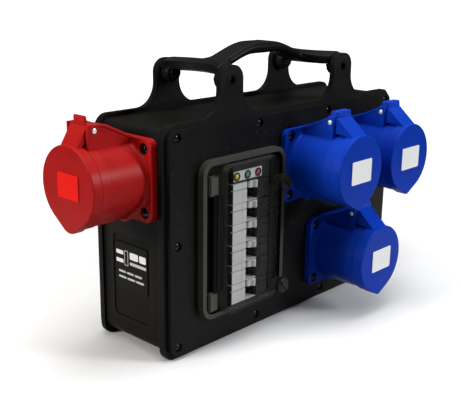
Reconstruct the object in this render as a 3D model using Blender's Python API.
"""Portable power distribution box: a flat case with a carrying handle, a mains inlet, four
industrial outlets with sprung lids, and six breakers behind a hinged window.

Metres, +Z up. The origin is the centre of the case's underside; the front faces -Y.
"""
import math
from collections import namedtuple

import bmesh
import bpy
from mathutils import Matrix, Vector

MM = 0.001
GAP = 0.3                     # clearance between neighbouring pieces, mm

# Case: a ring of walls between two rims that stand out and carry the handle lugs
RIM_HALF_X = 153.0
RIM_TOP = 192.2
RIM_RADIUS = 11.0
RIM_FACE = 40.5               # outer face of each rim, from the middle plane
RIM_INNER = 34.5              # inner face of each rim and lug
WALL_HALF_X = 151.0
WALL_BOTTOM, WALL_TOP = 6.0, 188.5
WALL = 4.0
DOOR_HALF_X = 134.0           # opening inside each rim
DOOR_BOTTOM, DOOR_TOP = 18.5, 175.5
GASKET_MARGIN = 2.7           # gasket centre line, outside the opening

HANDLE_X = -2.2
LUGS = (HANDLE_X - 74.8, HANDLE_X + 74.8)
LUG_HALF = 13.0
LUG_TOP = 232.0
LUG_CORNER, LUG_FILLET = 11.5, 20.0
PIVOT_Z = 220.0               # handle screws

PANEL_FACE = 45.0
PANEL_HALF_X = 149.0
PANEL_BOTTOM, PANEL_TOP = 4.5, 188.5
SCREW_COLUMNS = (-141.0, -47.0, 47.0, 141.0)
SCREW_ROWS = (11.3, 182.6)
SCREW_MIDDLE = 97.0
SCREW_RECESS = 3.6

# Handle
GRIP_HALF_Y = 12.0
GRIP_TOP, GRIP_UNDER = 244.2, 234.5
BAR_HALF_Y = 34.0
BAR_TOP, BAR_UNDER = 229.5, 222.0
BAR_OUTER = 85.0
END_RISE, END_HOLLOW = 3.5, 14.0    # the ends thicken again, and curve in between the lugs
BOSS_RADIUS, BOSS_LENGTH = 8.0, 9.5

# Outlets and inlet, each in its own frame: -Y outward, the seat at y = 0
SOCKET_Z_HIGH, SOCKET_Z_LOW = 141.5, 53.0
BLUE_X = (14.0, 91.5, 54.0)
RED_Z, INLET_Z = 149.3, 139.5
FLANGE_W = 68.0
BARREL_END = -50.0
BARREL_WALL = 3.0
BORE_FLOOR = -14.0
SPIGOT_RADIUS, SPIGOT_DEPTH = 27.0, 18.0
HINGE_RADIUS = 2.5
BLOCK_HALF, SLOT_HALF = 13.0, 10.4
ARM_HALF = 9.9
CARRIER_FACE = -30.0

# What differs between the sizes of connector: lid and key are radii of the outline, hinge is the
# pin's (y, z), web the side outline of the hinge block, tab the lid's lifting tab
Shape = namedtuple("Shape", "flange_h flange_t screws barrel lid lid_face key_depth key_radius "
                            "hinge web web_front shoulder tab tab_half")
SMALL = Shape(64.0, 5.5, (25.5, 26.0), 29.5, 31.0, -61.0, 3.6, 3.0, (-34.8, 40.2),
              [(-3, 31.2), (-6, 32.2), (-36.5, 45.8)], -39.0, -6.4, (-5.8, 1.3, 9.2), 9.9)
LARGE = Shape(65.0, 7.5, (26.0, 25.0), 30.3, 31.4, -59.0, 4.6, 12.0, (-41.8, 41.3),
              [(-3, 31.8), (-6.2, 32.9), (-23.3, 41.2), (-31, 44.8), (-37.1, 46.4)], -48.3, -5.2,
              (-4.4, -2.4, 10.7), 7.2)

# Breaker window
FRAME_X = (-120.0, -20.5)
FRAME_Z = (28.5, 161.5)
FRAME_FACE, FRAME_BASE = -51.5, -47.3
FRAME_LIP = 4.0
VIEW_X = (-88.0, -38.2)
VIEW_Z = (32.3, 155.8)
COVER_X = (-100.0, -37.5)
COVER_Z = (33.5, 156.5)
COVER_FOOT, COVER_FACE = -51.8, -58.8
COVER_WALL = 2.2
COVER_PIN = (-106.0, -50.2)
HINGE_BLOCKS = ((35.0, 51.0), (133.0, 149.0))
KNOB_X, KNOB_Z = -26.5, (131.0, 37.0)
KNOB_RADIUS = 7.0

# Modular devices on the rail
MODULE = 17.5
STACK_BOTTOM = 32.8
BREAKERS = 6
DEVICE_X = -62.8
NOSE_FACE = -50.6
TOGGLE_AXIS = (-61.8, -46.0)
TOGGLE_REST = math.radians(27)
TOGGLE_SPAN = (9.6, 16.0)
LENS_Z = 143.8
LENSES = (("yellow", -81.3), ("green", -68.4), ("red", -55.5))

PAINTS = {
    "case": ((0.016, 0.016, 0.015), 0.42, 0.0, 1.0),
    "panel": ((0.018, 0.018, 0.017), 0.40, 0.0, 1.0),
    "handle": ((0.014, 0.014, 0.013), 0.45, 0.0, 1.0),
    "rubber": ((0.010, 0.010, 0.010), 0.80, 0.0, 1.0),
    "red": ((0.42, 0.012, 0.012), 0.40, 0.0, 1.0),
    "blue": ((0.006, 0.060, 0.45), 0.40, 0.0, 1.0),
    "label_red": ((0.85, 0.03, 0.02), 0.50, 0.0, 1.0),
    "label_white": ((0.85, 0.85, 0.85), 0.50, 0.0, 1.0),
    "frame": ((0.060, 0.060, 0.055), 0.45, 0.0, 1.0),
    "smoke": ((0.10, 0.10, 0.10), 0.10, 0.0, 0.35),
    "device": ((0.72, 0.72, 0.70), 0.45, 0.0, 1.0),
    "toggle": ((0.78, 0.78, 0.76), 0.40, 0.0, 1.0),
    "contact": ((0.05, 0.05, 0.055), 0.50, 0.0, 1.0),
    "brass": ((0.62, 0.45, 0.18), 0.30, 1.0, 1.0),
    "steel": ((0.60, 0.60, 0.60), 0.30, 1.0, 1.0),
    "dark_steel": ((0.03, 0.03, 0.03), 0.35, 1.0, 1.0),
    "yellow": ((0.75, 0.55, 0.03), 0.20, 0.0, 1.0),
    "green": ((0.05, 0.40, 0.12), 0.20, 0.0, 1.0),
    "plate": ((0.030, 0.030, 0.030), 0.50, 0.0, 1.0),
}


# ---------------------------------------------------------------- outlines

def arc(cx, cy, radius, start, stop, steps):
    """Points on an arc, from start to stop degrees, both ends included."""
    points = []
    for i in range(steps + 1):
        angle = math.radians(start + (stop - start) * i / steps)
        points.append((cx + radius * math.cos(angle), cy + radius * math.sin(angle)))
    return points


def rounded(x_range, z_range, radius, steps=3):
    """A rectangle with rounded corners, counter-clockwise."""
    (x0, x1), (z0, z1) = x_range, z_range
    corners = ((x1, z1, 0), (x0, z1, 90), (x0, z0, 180), (x1, z0, 270))
    points = []
    for x, z, start in corners:
        cx = x - radius if x == x1 else x + radius
        cz = z - radius if z == z1 else z + radius
        points += arc(cx, cz, radius, start, start + 90, steps)
    return points


def circle(cx, cy, radius, steps):
    return arc(cx, cy, radius, 0, 360, steps)[:-1]


def keyed_circle(radius, shape, steps=24):
    """A circle with the rounded key ridge at its foot."""
    foot = radius + shape.key_depth - shape.key_radius
    spread = math.degrees(math.acos((radius - shape.key_radius) / foot))
    return (arc(0, 0, radius, -90 + spread, 270 - spread, steps)
            + arc(0, -foot, shape.key_radius, 270 - spread, 270 + spread, 4))


def rim_outline():
    """The rim: a rounded rectangle whose top edge rises into two handle lugs."""
    r, c, f = RIM_RADIUS, LUG_CORNER, LUG_FILLET
    top = [(RIM_HALF_X - r, RIM_TOP)]
    for lug in reversed(LUGS):
        right, left = lug + LUG_HALF, lug - LUG_HALF
        top += arc(right + f, RIM_TOP + f, f, 270, 180, 5)
        top += arc(right - c, LUG_TOP - c, c, 0, 90, 4)
        top += arc(left + c, LUG_TOP - c, c, 90, 180, 4)
        top += arc(left - f, RIM_TOP + f, f, 0, -90, 5)
    return (arc(RIM_HALF_X - r, RIM_TOP - r, r, 0, 90, 4)[:-1] + top
            + arc(-RIM_HALF_X + r, RIM_TOP - r, r, 90, 180, 4)
            + arc(-RIM_HALF_X + r, r, r, 180, 270, 4)
            + arc(RIM_HALF_X - r, r, r, 270, 360, 4))


# ---------------------------------------------------------------- solids

def new_object(bm, name="solid"):
    bmesh.ops.recalc_face_normals(bm, faces=bm.faces)
    mesh = bpy.data.meshes.new(name)
    bm.to_mesh(mesh)
    bm.free()
    obj = bpy.data.objects.new(name, mesh)
    bpy.context.collection.objects.link(obj)
    return obj


def prism(outline, low, high, axis="Y", edge=0.0):
    """An outline extruded along an axis; edge bevels the rim of its low end. Sizes in mm."""
    place = {"X": lambda u, v, w: (w, u, v), "Y": lambda u, v, w: (u, w, v),
             "Z": lambda u, v, w: (u, v, w)}[axis]
    bm = bmesh.new()
    ends = [[bm.verts.new(Vector(place(u, v, w)) * MM) for u, v in outline] for w in (low, high)]
    caps = [bm.faces.new(end) for end in ends]
    count = len(outline)
    for i in range(count):
        j = (i + 1) % count
        bm.faces.new((ends[0][i], ends[0][j], ends[1][j], ends[1][i]))
    if edge:
        bmesh.ops.bevel(bm, geom=list(caps[0].edges), offset=edge * MM, segments=1,
                        affect="EDGES", clamp_overlap=True)
    return new_object(bm)


def box(x_range, y_range, z_range):
    (x0, x1), (y0, y1) = x_range, y_range
    return prism([(x0, y0), (x1, y0), (x1, y1), (x0, y1)], *z_range, axis="Z")


def turned(profile, centre, axis="Y", steps=20):
    """A solid of revolution; profile is (radius, position along the axis), mm, ends at radius 0."""
    bm = bmesh.new()
    rings = []
    for radius, along in profile:
        count = 1 if radius == 0 else steps
        ring = []
        for i in range(count):
            angle = 2 * math.pi * i / steps
            u, v = radius * math.cos(angle), radius * math.sin(angle)
            offset = {"X": (along, u, v), "Y": (u, along, v), "Z": (u, v, along)}[axis]
            ring.append(bm.verts.new((Vector(centre) + Vector(offset)) * MM))
        rings.append(ring)
    for a, b in zip(rings, rings[1:]):
        for i in range(steps):
            j = (i + 1) % steps
            loop = [a[i % len(a)], a[j % len(a)], b[j % len(b)], b[i % len(b)]]
            bm.faces.new(list(dict.fromkeys(loop)))
    return new_object(bm)


def rod(radius, low, high, centre, axis="Y", steps=16):
    """A plain cylinder, from low to high along its axis."""
    x, y, z = centre
    cx, cy, base = {"X": (y, z, x), "Y": (x, z, y), "Z": (x, y, z)}[axis]
    return prism(circle(cx, cy, radius, steps), base + low, base + high, axis)


def combine(target, operation, tools):
    """Boolean the tools into the target, one after another, and drop them."""
    for tool in tools:
        modifier = target.modifiers.new("boolean", "BOOLEAN")
        modifier.operation = operation
        modifier.solver = "EXACT"
        modifier.object = tool
    graph = bpy.context.evaluated_depsgraph_get()
    mesh = bpy.data.meshes.new_from_object(target.evaluated_get(graph))
    target.modifiers.clear()
    target.data = mesh
    for tool in tools:
        bpy.data.objects.remove(tool)
    return target


def cut(target, *tools):
    return combine(target, "DIFFERENCE", tools)


def join(target, *tools):
    return combine(target, "UNION", tools)


def paint(slot):
    material = bpy.data.materials.get(slot) or bpy.data.materials.new(slot)
    colour, roughness, metallic, alpha = PAINTS[slot]
    material.use_nodes = True
    shader = material.node_tree.nodes["Principled BSDF"]
    shader.inputs["Base Color"].default_value = (*colour, 1.0)
    shader.inputs["Roughness"].default_value = roughness
    shader.inputs["Metallic"].default_value = metallic
    shader.inputs["Alpha"].default_value = alpha
    return material


def finish(obj, name, slot, origin=(0, 0, 0), place=None):
    """Name, paint and smooth a piece, and put its origin (mm) where it turns or stands."""
    obj.name = obj.data.name = name
    obj.data.materials.clear()
    obj.data.materials.append(paint(slot))
    origin = Vector(origin) * MM
    obj.data.transform(Matrix.Translation(-origin))
    obj.matrix_world = (place or Matrix.Identity(4)) @ Matrix.Translation(origin)
    obj.data.shade_smooth()
    obj.data.set_sharp_from_angle(angle=math.radians(35))
    return obj


# ---------------------------------------------------------------- case

def panel_screw_places():
    places = [(x, z) for x in SCREW_COLUMNS for z in SCREW_ROWS]
    return places + [(SCREW_COLUMNS[0], SCREW_MIDDLE), (SCREW_COLUMNS[-1], SCREW_MIDDLE)]


def gasket_loop(inset):
    """The gasket's centre line, moved outward by inset."""
    reach = GASKET_MARGIN + inset
    return rounded((-DOOR_HALF_X - reach, DOOR_HALF_X + reach),
                   (DOOR_BOTTOM - reach, DOOR_TOP + reach), 6 + inset)


def gasket_ring(half_width, low, high):
    return cut(prism(gasket_loop(half_width), low, high),
               prism(gasket_loop(-half_width), low - 1, high + 1))


def make_case():
    body = prism(rounded((-WALL_HALF_X, WALL_HALF_X), (WALL_BOTTOM, WALL_TOP), 9), -37, 37)
    join(body, prism(rim_outline(), -RIM_FACE, -RIM_INNER), prism(rim_outline(), RIM_INNER, RIM_FACE))
    inner = (WALL_HALF_X - WALL)
    cut(body, prism(rounded((-inner, inner), (WALL_BOTTOM + WALL, WALL_TOP - WALL), 6),
                    -RIM_INNER, RIM_INNER),
        prism(rounded((-DOOR_HALF_X, DOOR_HALF_X), (DOOR_BOTTOM, DOOR_TOP), 6), -60, 60),
        rod(SPIGOT_RADIUS + 1, -160, -140, (0, 0, RED_Z), "X", 24),
        rod(SPIGOT_RADIUS + 1, 140, 160, (0, 0, INLET_Z), "X", 24),
        prism(rounded((-22.5, 22.5), (25, 97), 5), -WALL_HALF_X - 1, -WALL_HALF_X + 0.8, "X"))
    for side in (-1, 1):
        groove = sorted((side * (RIM_FACE - 2.4), side * (RIM_FACE + 1)))
        cut(body, gasket_ring(1.5, *groove))
        for lug in LUGS:
            outer = sorted((side * (RIM_FACE - 3), side * (RIM_FACE + 1)))
            through = sorted((side * (RIM_INNER - 1), side * (RIM_FACE + 1)))
            cut(body, rod(4.2, *outer, (lug, 0, PIVOT_Z), steps=12),
                rod(2.3, *through, (lug, 0, PIVOT_Z), steps=10))
    finish(body, "case_body", "case")
    for side, name in ((-1, "front_gasket"), (1, "back_gasket")):
        lie = sorted((side * (RIM_FACE - 2.1), side * RIM_FACE))
        finish(gasket_ring(1.2, *lie), name, "rubber")


def make_panel(name, side, openings):
    """A screwed-on panel; side is -1 for the front and 1 for the back."""
    panel = prism(rounded((-PANEL_HALF_X, PANEL_HALF_X), (PANEL_BOTTOM, PANEL_TOP), 8),
                  -PANEL_FACE, -RIM_FACE - GAP, edge=1.2)
    recesses = [rod(SCREW_RECESS, -PANEL_FACE - 1, -PANEL_FACE + 2.2, (x, 0, z), steps=10)
                for x, z in panel_screw_places()]
    cut(panel, *recesses, *openings)
    if side > 0:
        panel.data.transform(Matrix.Rotation(math.pi, 4, "Z"))
    finish(panel, name, "panel")


def make_panels():
    window = prism(rounded((VIEW_X[0] - 1, VIEW_X[1] + 1), (VIEW_Z[0] - 1, VIEW_Z[1] + 1), 3), -60, -30)
    rows = (SOCKET_Z_HIGH, SOCKET_Z_HIGH, SOCKET_Z_LOW)
    sockets = [rod(SPIGOT_RADIUS + 1, -60, -30, (x, 0, z), steps=24) for x, z in zip(BLUE_X, rows)]
    make_panel("front_panel", -1, [window, *sockets])
    make_panel("back_panel", 1, [])
    finish(prism(rounded((-19.5, 19.5), (50, 90), 2), -WALL_HALF_X - 0.1, -WALL_HALF_X + 0.5, "X"),
           "data_plate", "plate")


# ---------------------------------------------------------------- handle

def ease(x, x0, x1):
    """0 before x0, 1 after x1, smooth between."""
    t = min(max((x - x0) / (x1 - x0), 0.0), 1.0)
    return t * t * (3 - 2 * t)


def handle_ring(x):
    """One section across the handle, x from its middle: a rectangle with chamfered corners."""
    away = abs(x)
    spread = ease(away, 46, 70)
    half = GRIP_HALF_Y + (BAR_HALF_Y - GRIP_HALF_Y) * spread
    top = GRIP_TOP + (BAR_TOP - GRIP_TOP) * ease(away, 8, 68) + END_RISE * ease(away, 64, 76)
    under = GRIP_UNDER + (BAR_UNDER - GRIP_UNDER) * ease(away, 15, 66)
    corner = 3.6 - 1.6 * spread
    end = ease(away, BAR_OUTER - 5, BAR_OUTER + 1)
    top, under = top - 3 * end, under + 2 * end
    points = []
    for cy, cz, start in ((half, top, 0), (-half, top, 90), (-half, under, 180), (half, under, 270)):
        y = cy - math.copysign(corner, cy)
        z = cz - corner if cz == top else cz + corner
        points += arc(y, z, corner, start, start + 90, 2)
        if start in (0, 180):
            points += [(cy * share, cz) for share in (0.6, 0.2, -0.2, -0.6)]
    return points


def hollow(x, y):
    """How far a point near the handle's end moves towards the grip."""
    return -math.copysign(END_HOLLOW, x) * (1 - (y / BAR_HALF_Y) ** 2) * ease(abs(x), 46, BAR_OUTER)


def strip_cap(bm, ring):
    """Closes a section with strips from its top to its underside."""
    last = len(ring) - 1
    for i in range(last // 2):
        bm.faces.new((ring[i], ring[i + 1], ring[last - 1 - i], ring[last - i]))


def make_handle():
    bm = bmesh.new()
    stations = [-BAR_OUTER, -83, -80, -70, -65, -60, -55, -50, -42, -33, -24, -14]
    stations = stations + [0] + [-x for x in reversed(stations)]
    rings = [[bm.verts.new(Vector((HANDLE_X + x + hollow(x, y), y, z)) * MM) for y, z in handle_ring(x)]
             for x in stations]
    for a, b in zip(rings, rings[1:]):
        for i in range(len(a)):
            j = (i + 1) % len(a)
            bm.faces.new((a[i], a[j], b[j], b[i]))
    strip_cap(bm, rings[0])
    strip_cap(bm, rings[-1])
    handle = new_object(bm)
    for lug in LUGS:
        for side in (-1, 1):
            reach = sorted((side * BAR_HALF_Y, side * (BAR_HALF_Y - BOSS_LENGTH)))
            join(handle, rod(BOSS_RADIUS, *reach, (lug, 0, PIVOT_Z), steps=20))
            hole = sorted((side * (BAR_HALF_Y + 1), side * (BAR_HALF_Y - 7)))
            cut(handle, rod(2.3, *hole, (lug, 0, PIVOT_Z), steps=10))
    finish(handle, "handle", "handle")
    head = RIM_FACE - 0.4
    for side, face in ((-1, "front"), (1, "back")):
        for lug, end in zip(LUGS, ("left", "right")):
            profile = [(0, head), (3.2, head), (3.8, head - 0.6), (3.8, head - 2.1), (1.9, head - 2.1),
                       (1.9, head - 12), (0, head - 12)]
            profile = [(radius, side * along) for radius, along in profile]
            finish(turned(profile, (lug, 0, PIVOT_Z), steps=10), f"handle_screw_{face}_{end}",
                   "dark_steel", (lug, side * RIM_FACE, PIVOT_Z))


# ---------------------------------------------------------------- outlets and inlet

def make_housing(shape, hinged):
    """Flange, collar with its key ridge, spigot behind and the block that carries the lid."""
    half_h = shape.flange_h / 2
    housing = prism(rounded((-FLANGE_W / 2, FLANGE_W / 2), (-half_h, half_h), 6),
                    -shape.flange_t, -GAP, edge=1.0)
    join(housing, prism(keyed_circle(shape.barrel, shape), BARREL_END, -3),
         rod(SPIGOT_RADIUS, -3, SPIGOT_DEPTH, (0, 0, 0), steps=24))
    if hinged:
        (y, z), top = shape.hinge, shape.web[-1][1]
        web = [(-3, 12)] + shape.web + [(shape.web_front, top), (shape.web_front, 12)]
        join(housing, prism(web, -BLOCK_HALF, BLOCK_HALF, "X"))
        cut(housing, box((-SLOT_HALF, SLOT_HALF), (y - 10.2, y + 13.2), (shape.barrel + 0.5, 60)),
            rod(HINGE_RADIUS, -20, 20, (0, y, z), "X", 10))
    across, up = shape.screws
    corners = [(x, z) for x in (-across, across) for z in (-up, up)]
    cut(housing, rod(shape.barrel - BARREL_WALL, BARREL_END - 1, BORE_FLOOR, (0, 0, 0), steps=24),
        rod(SPIGOT_RADIUS - 4, 2, SPIGOT_DEPTH + 1, (0, 0, 0), steps=20),
        *[rod(4.2, -shape.flange_t - 1, -shape.flange_t + 3, (x, 0, z), steps=10) for x, z in corners])
    return housing


def make_lid(shape):
    """A cap over the collar, with the hinge arm that reaches back to the pin."""
    lid = prism(keyed_circle(shape.lid, shape), shape.lid_face, BARREL_END - GAP, edge=0.8)
    (y, z), low = shape.hinge, shape.barrel + 1.3
    arm = [(BARREL_END - 0.8, 20), (BARREL_END - 0.8, low), (y + 1.8, low), (y + 3.8, z - 6.2),
           (y + 4.9, z - 2.2), (y + 4.9, z + 1.8), (y + 3.3, z + 4.8), (y + shape.shoulder, z + 3.8),
           (shape.lid_face + 1.3, 28), (shape.lid_face + 4, 20)]
    back, front, tip = shape.tab
    join(lid, prism(arm, -ARM_HALF, ARM_HALF, "X"),
         box((-shape.tab_half, shape.tab_half), (y + back, y + front), (z + 3, z + tip)))
    return cut(lid, rod(shape.lid - 3.5, shape.lid_face + 3, BARREL_END + 1, (0, 0, 0), steps=24),
               rod(HINGE_RADIUS + 0.3, -20, 20, (0, y, z), "X", 10))


def make_carrier(shape, poles, male):
    """The contact carrier: a disc in the bore, with sleeves for an outlet or pins for an inlet."""
    face = CARRIER_FACE if not male else BORE_FLOOR - 6
    carrier = rod(shape.barrel - BARREL_WALL - GAP, face, BORE_FLOOR - GAP, (0, 0, 0), steps=24)
    ring = 14.0 if poles == 5 else 10.5
    for i in range(poles):
        angle = math.radians(270 + 360 * i / poles)
        spot = (ring * math.cos(angle), 0, ring * math.sin(angle))
        radius = 3.4 if i == 0 else 2.7
        if male:
            tip = face - 20
            profile = [(0, tip), (radius - 0.8, tip), (radius, tip + 1.2), (radius, face + 2), (0, face + 2)]
            join(carrier, turned(profile, spot, steps=10))
        else:
            cut(carrier, rod(radius, face - 1, face + 11, spot, steps=10))
    return carrier


def make_connector(name, slot, shape, poles, male, place):
    finish(make_housing(shape, not male), f"{name}_housing", slot, place=place)
    finish(make_carrier(shape, poles, male), f"{name}_contacts", "contact", place=place)


def make_lid_set(name, slot, shape, label_slot, label_x, label_z, place):
    """The sprung lid, the pin it turns on and the label on its face."""
    hinge = (0, *shape.hinge)
    finish(make_lid(shape), f"{name}_lid", slot, hinge, place)
    pin_radius, half = HINGE_RADIUS - GAP, BLOCK_HALF - 0.1
    profile = [(0, -half), (pin_radius - 0.5, -half), (pin_radius, -half + 0.5), (pin_radius, half - 0.5),
               (pin_radius - 0.5, half), (0, half)]
    finish(turned(profile, hinge, "X", 10), f"{name}_lid_pin", "steel", hinge, place)
    face = shape.lid_face - GAP
    finish(prism(rounded(label_x, label_z, 0.8, 1), face - 0.4, face), f"{name}_lid_label", label_slot,
           (0, face, 0), place)


def seat(position, turn=0.0):
    """The frame of a connector: where its flange sits, turned about the vertical."""
    return Matrix.Translation(Vector(position) * MM) @ Matrix.Rotation(math.radians(turn), 4, "Z")


def make_connectors():
    rows = (SOCKET_Z_HIGH, SOCKET_Z_HIGH, SOCKET_Z_LOW)
    for i, (x, z) in enumerate(zip(BLUE_X, rows), start=1):
        name, place = f"blue_outlet_{i}", seat((x, -PANEL_FACE, z))
        make_connector(name, "blue", SMALL, 3, False, place)
        make_lid_set(name, "blue", SMALL, "label_white", (-14.2, 14.2), (-10, 10), place)
    place = seat((-WALL_HALF_X, 0, RED_Z), -90)
    make_connector("red_outlet", "red", LARGE, 5, False, place)
    make_lid_set("red_outlet", "red", LARGE, "label_red", (-10.8, 14.0), (-8.7, 10.5), place)
    make_connector("inlet", "red", LARGE, 5, True, seat((WALL_HALF_X, 0, INLET_Z), 90))


# ---------------------------------------------------------------- breaker window

def make_window_frame():
    outer = rounded(FRAME_X, FRAME_Z, 12)
    inner = rounded((FRAME_X[0] + FRAME_LIP, FRAME_X[1] - FRAME_LIP),
                    (FRAME_Z[0] + FRAME_LIP, FRAME_Z[1] - FRAME_LIP), 8)
    frame = prism(outer, FRAME_FACE, -PANEL_FACE - GAP, edge=1.2)
    cut(frame, prism(inner, FRAME_FACE - 1, FRAME_BASE))
    bosses = [rod(4.6, FRAME_FACE, FRAME_BASE + 1, (KNOB_X, 0, z), steps=20) for z in KNOB_Z]
    blocks = [box((-113.5, -103.5), (-52.5, FRAME_BASE + 1), block) for block in HINGE_BLOCKS]
    join(frame, *bosses, *blocks)
    bores = [rod(1.5, z0 - 1, z1 + 1, (*COVER_PIN, 0), "Z", 12) for z0, z1 in HINGE_BLOCKS]
    sockets = [rod(2.4, FRAME_FACE - 1, -PANEL_FACE - 1, (KNOB_X, 0, z), steps=12) for z in KNOB_Z]
    cut(frame, prism(rounded(VIEW_X, VIEW_Z, 2), -60, -40), *bores, *sockets)
    finish(frame, "window_frame", "frame")


def make_window_cover():
    cover = prism(rounded(COVER_X, COVER_Z, 6), COVER_FACE, COVER_FOOT, edge=1.4)
    low, high = HINGE_BLOCKS[0][1] + 0.4, HINGE_BLOCKS[1][0] - 0.4
    ears = []
    for z in KNOB_Z:
        outline = arc(KNOB_X, z, 6.4, -90, 90, 8) + [(COVER_X[1] - 3, z + 6.4), (COVER_X[1] - 3, z - 6.4)]
        ears.append(prism(outline, COVER_FOOT - 2, COVER_FOOT))
    join(cover, box((COVER_PIN[0], COVER_X[0] + 3), (COVER_FOOT - 2, COVER_FOOT), (low, high)),
         rod(2.6, low, high, (*COVER_PIN, 0), "Z", 16), *ears)
    wall = COVER_WALL
    hollow = prism(rounded((COVER_X[0] + wall, COVER_X[1] - wall), (COVER_Z[0] + wall, COVER_Z[1] - wall), 4),
                   COVER_FACE + wall, COVER_FOOT + 1)
    cut(cover, hollow, rod(1.5, low - 1, high + 1, (*COVER_PIN, 0), "Z", 12),
        *[rod(2.4, -56, -50, (KNOB_X, 0, z), steps=12) for z in KNOB_Z])
    finish(cover, "window_cover", "smoke", (*COVER_PIN, 92))
    finish(rod(1.2, HINGE_BLOCKS[0][0] + 0.5, HINGE_BLOCKS[1][1] - 0.5, (*COVER_PIN, 0), "Z", 12),
           "window_hinge_pin", "steel")


def make_knobs():
    face, foot = COVER_FOOT - 7.4, COVER_FOOT - 2 - GAP
    for z, name in zip(KNOB_Z, ("window_knob_top", "window_knob_bottom")):
        profile = [(0, face), (KNOB_RADIUS - 1, face), (KNOB_RADIUS, face + 1), (KNOB_RADIUS, foot),
                   (2.0, foot), (2.0, -47.6), (0, -47.6)]
        knob = turned(profile, (KNOB_X, 0, z), steps=20)
        rib = prism(rounded((-5.8, 5.8), (-1.3, 1.3), 1.2, 2), face - 1.5, face + 0.5)
        rib.data.transform(Matrix.Translation(Vector((KNOB_X, 0, z)) * MM)
                           @ Matrix.Rotation(math.radians(45), 4, "Y"))
        finish(join(knob, rib), name, "frame", (KNOB_X, foot, z))


# ---------------------------------------------------------------- devices on the rail

def device(bottom):
    """A modular device: a 45 mm nose, wider shoulders and a notch that clips over the rail."""
    half = [(22.5, NOSE_FACE), (22.5, -36), (30, -36), (42.5, -32), (42.5, 13), (18, 13), (18, 8.7)]
    outline = [(DEVICE_X + x, y) for x, y in half] + [(DEVICE_X - x, y) for x, y in reversed(half)]
    return prism(outline, bottom + 0.2, bottom + MODULE - 0.2, "Z")


def make_toggle(bottom):
    """The lever: a barrel in the slot with a wedge-shaped paddle."""
    x, y = TOGGLE_AXIS
    low, high = [bottom + height for height in TOGGLE_SPAN]
    paddle = prism([(x - 2.6, y), (x + 2.6, y), (x + 2.0, y - 7.8), (x - 1.2, y - 7.8)], low, high, "Z")
    toggle = join(rod(4.4, low, high, (x, y, 0), "Z", 16), paddle)
    toggle.data.transform(Matrix.Translation(Vector((x, y, 0)) * MM)
                          @ Matrix.Rotation(TOGGLE_REST, 4, "Z")
                          @ Matrix.Translation(-Vector((x, y, 0)) * MM))
    return toggle


def make_devices():
    for i in range(BREAKERS):
        bottom = STACK_BOTTOM + MODULE * (BREAKERS - 1 - i)
        slot = box((-68.6, -55.0), (NOSE_FACE - 1, -41.2), (bottom + 1.1, bottom + 16.4))
        finish(cut(device(bottom), slot), f"breaker_{i + 1}", "device")
        middle = bottom + sum(TOGGLE_SPAN) / 2
        finish(make_toggle(bottom), f"breaker_toggle_{i + 1}", "toggle", (*TOGGLE_AXIS, middle))
    holes = [rod(2.9, NOSE_FACE - 1, NOSE_FACE + 3, (x, 0, LENS_Z), steps=10) for _, x in LENSES]
    finish(cut(device(STACK_BOTTOM + MODULE * BREAKERS), *holes), "indicator_module", "device")
    for colour, x in LENSES:
        profile = [(0, -1.4), (1.4, -1.0), (2.3, 0), (2.6, 0.5), (2.6, 2.7), (0, 2.7)]
        slot = colour if colour != "red" else "label_red"
        finish(turned(profile, (x, NOSE_FACE, LENS_Z), steps=10), f"indicator_lens_{colour}", slot,
               (x, NOSE_FACE, LENS_Z))
    flange, web, sheet = 17.5, 13.0, 1.0
    rail = [(-flange, 9.0), (-web + sheet, 9.0), (-web + sheet, 15.5), (web - sheet, 15.5), (web - sheet, 9.0),
            (flange, 9.0), (flange, 10.0), (web, 10.0), (web, 16.5), (-web, 16.5), (-web, 10.0), (-flange, 10.0)]
    rail = [(DEVICE_X + x, y) for x, y in rail]
    finish(prism(rail, WALL_BOTTOM + WALL + GAP, WALL_TOP - WALL - GAP, "Z"), "din_rail", "steel")


def main():
    for obj in list(bpy.data.objects):
        bpy.data.objects.remove(obj)
    make_case()
    make_panels()
    make_handle()
    make_connectors()
    make_window_frame()
    make_window_cover()
    make_knobs()
    make_devices()


main()
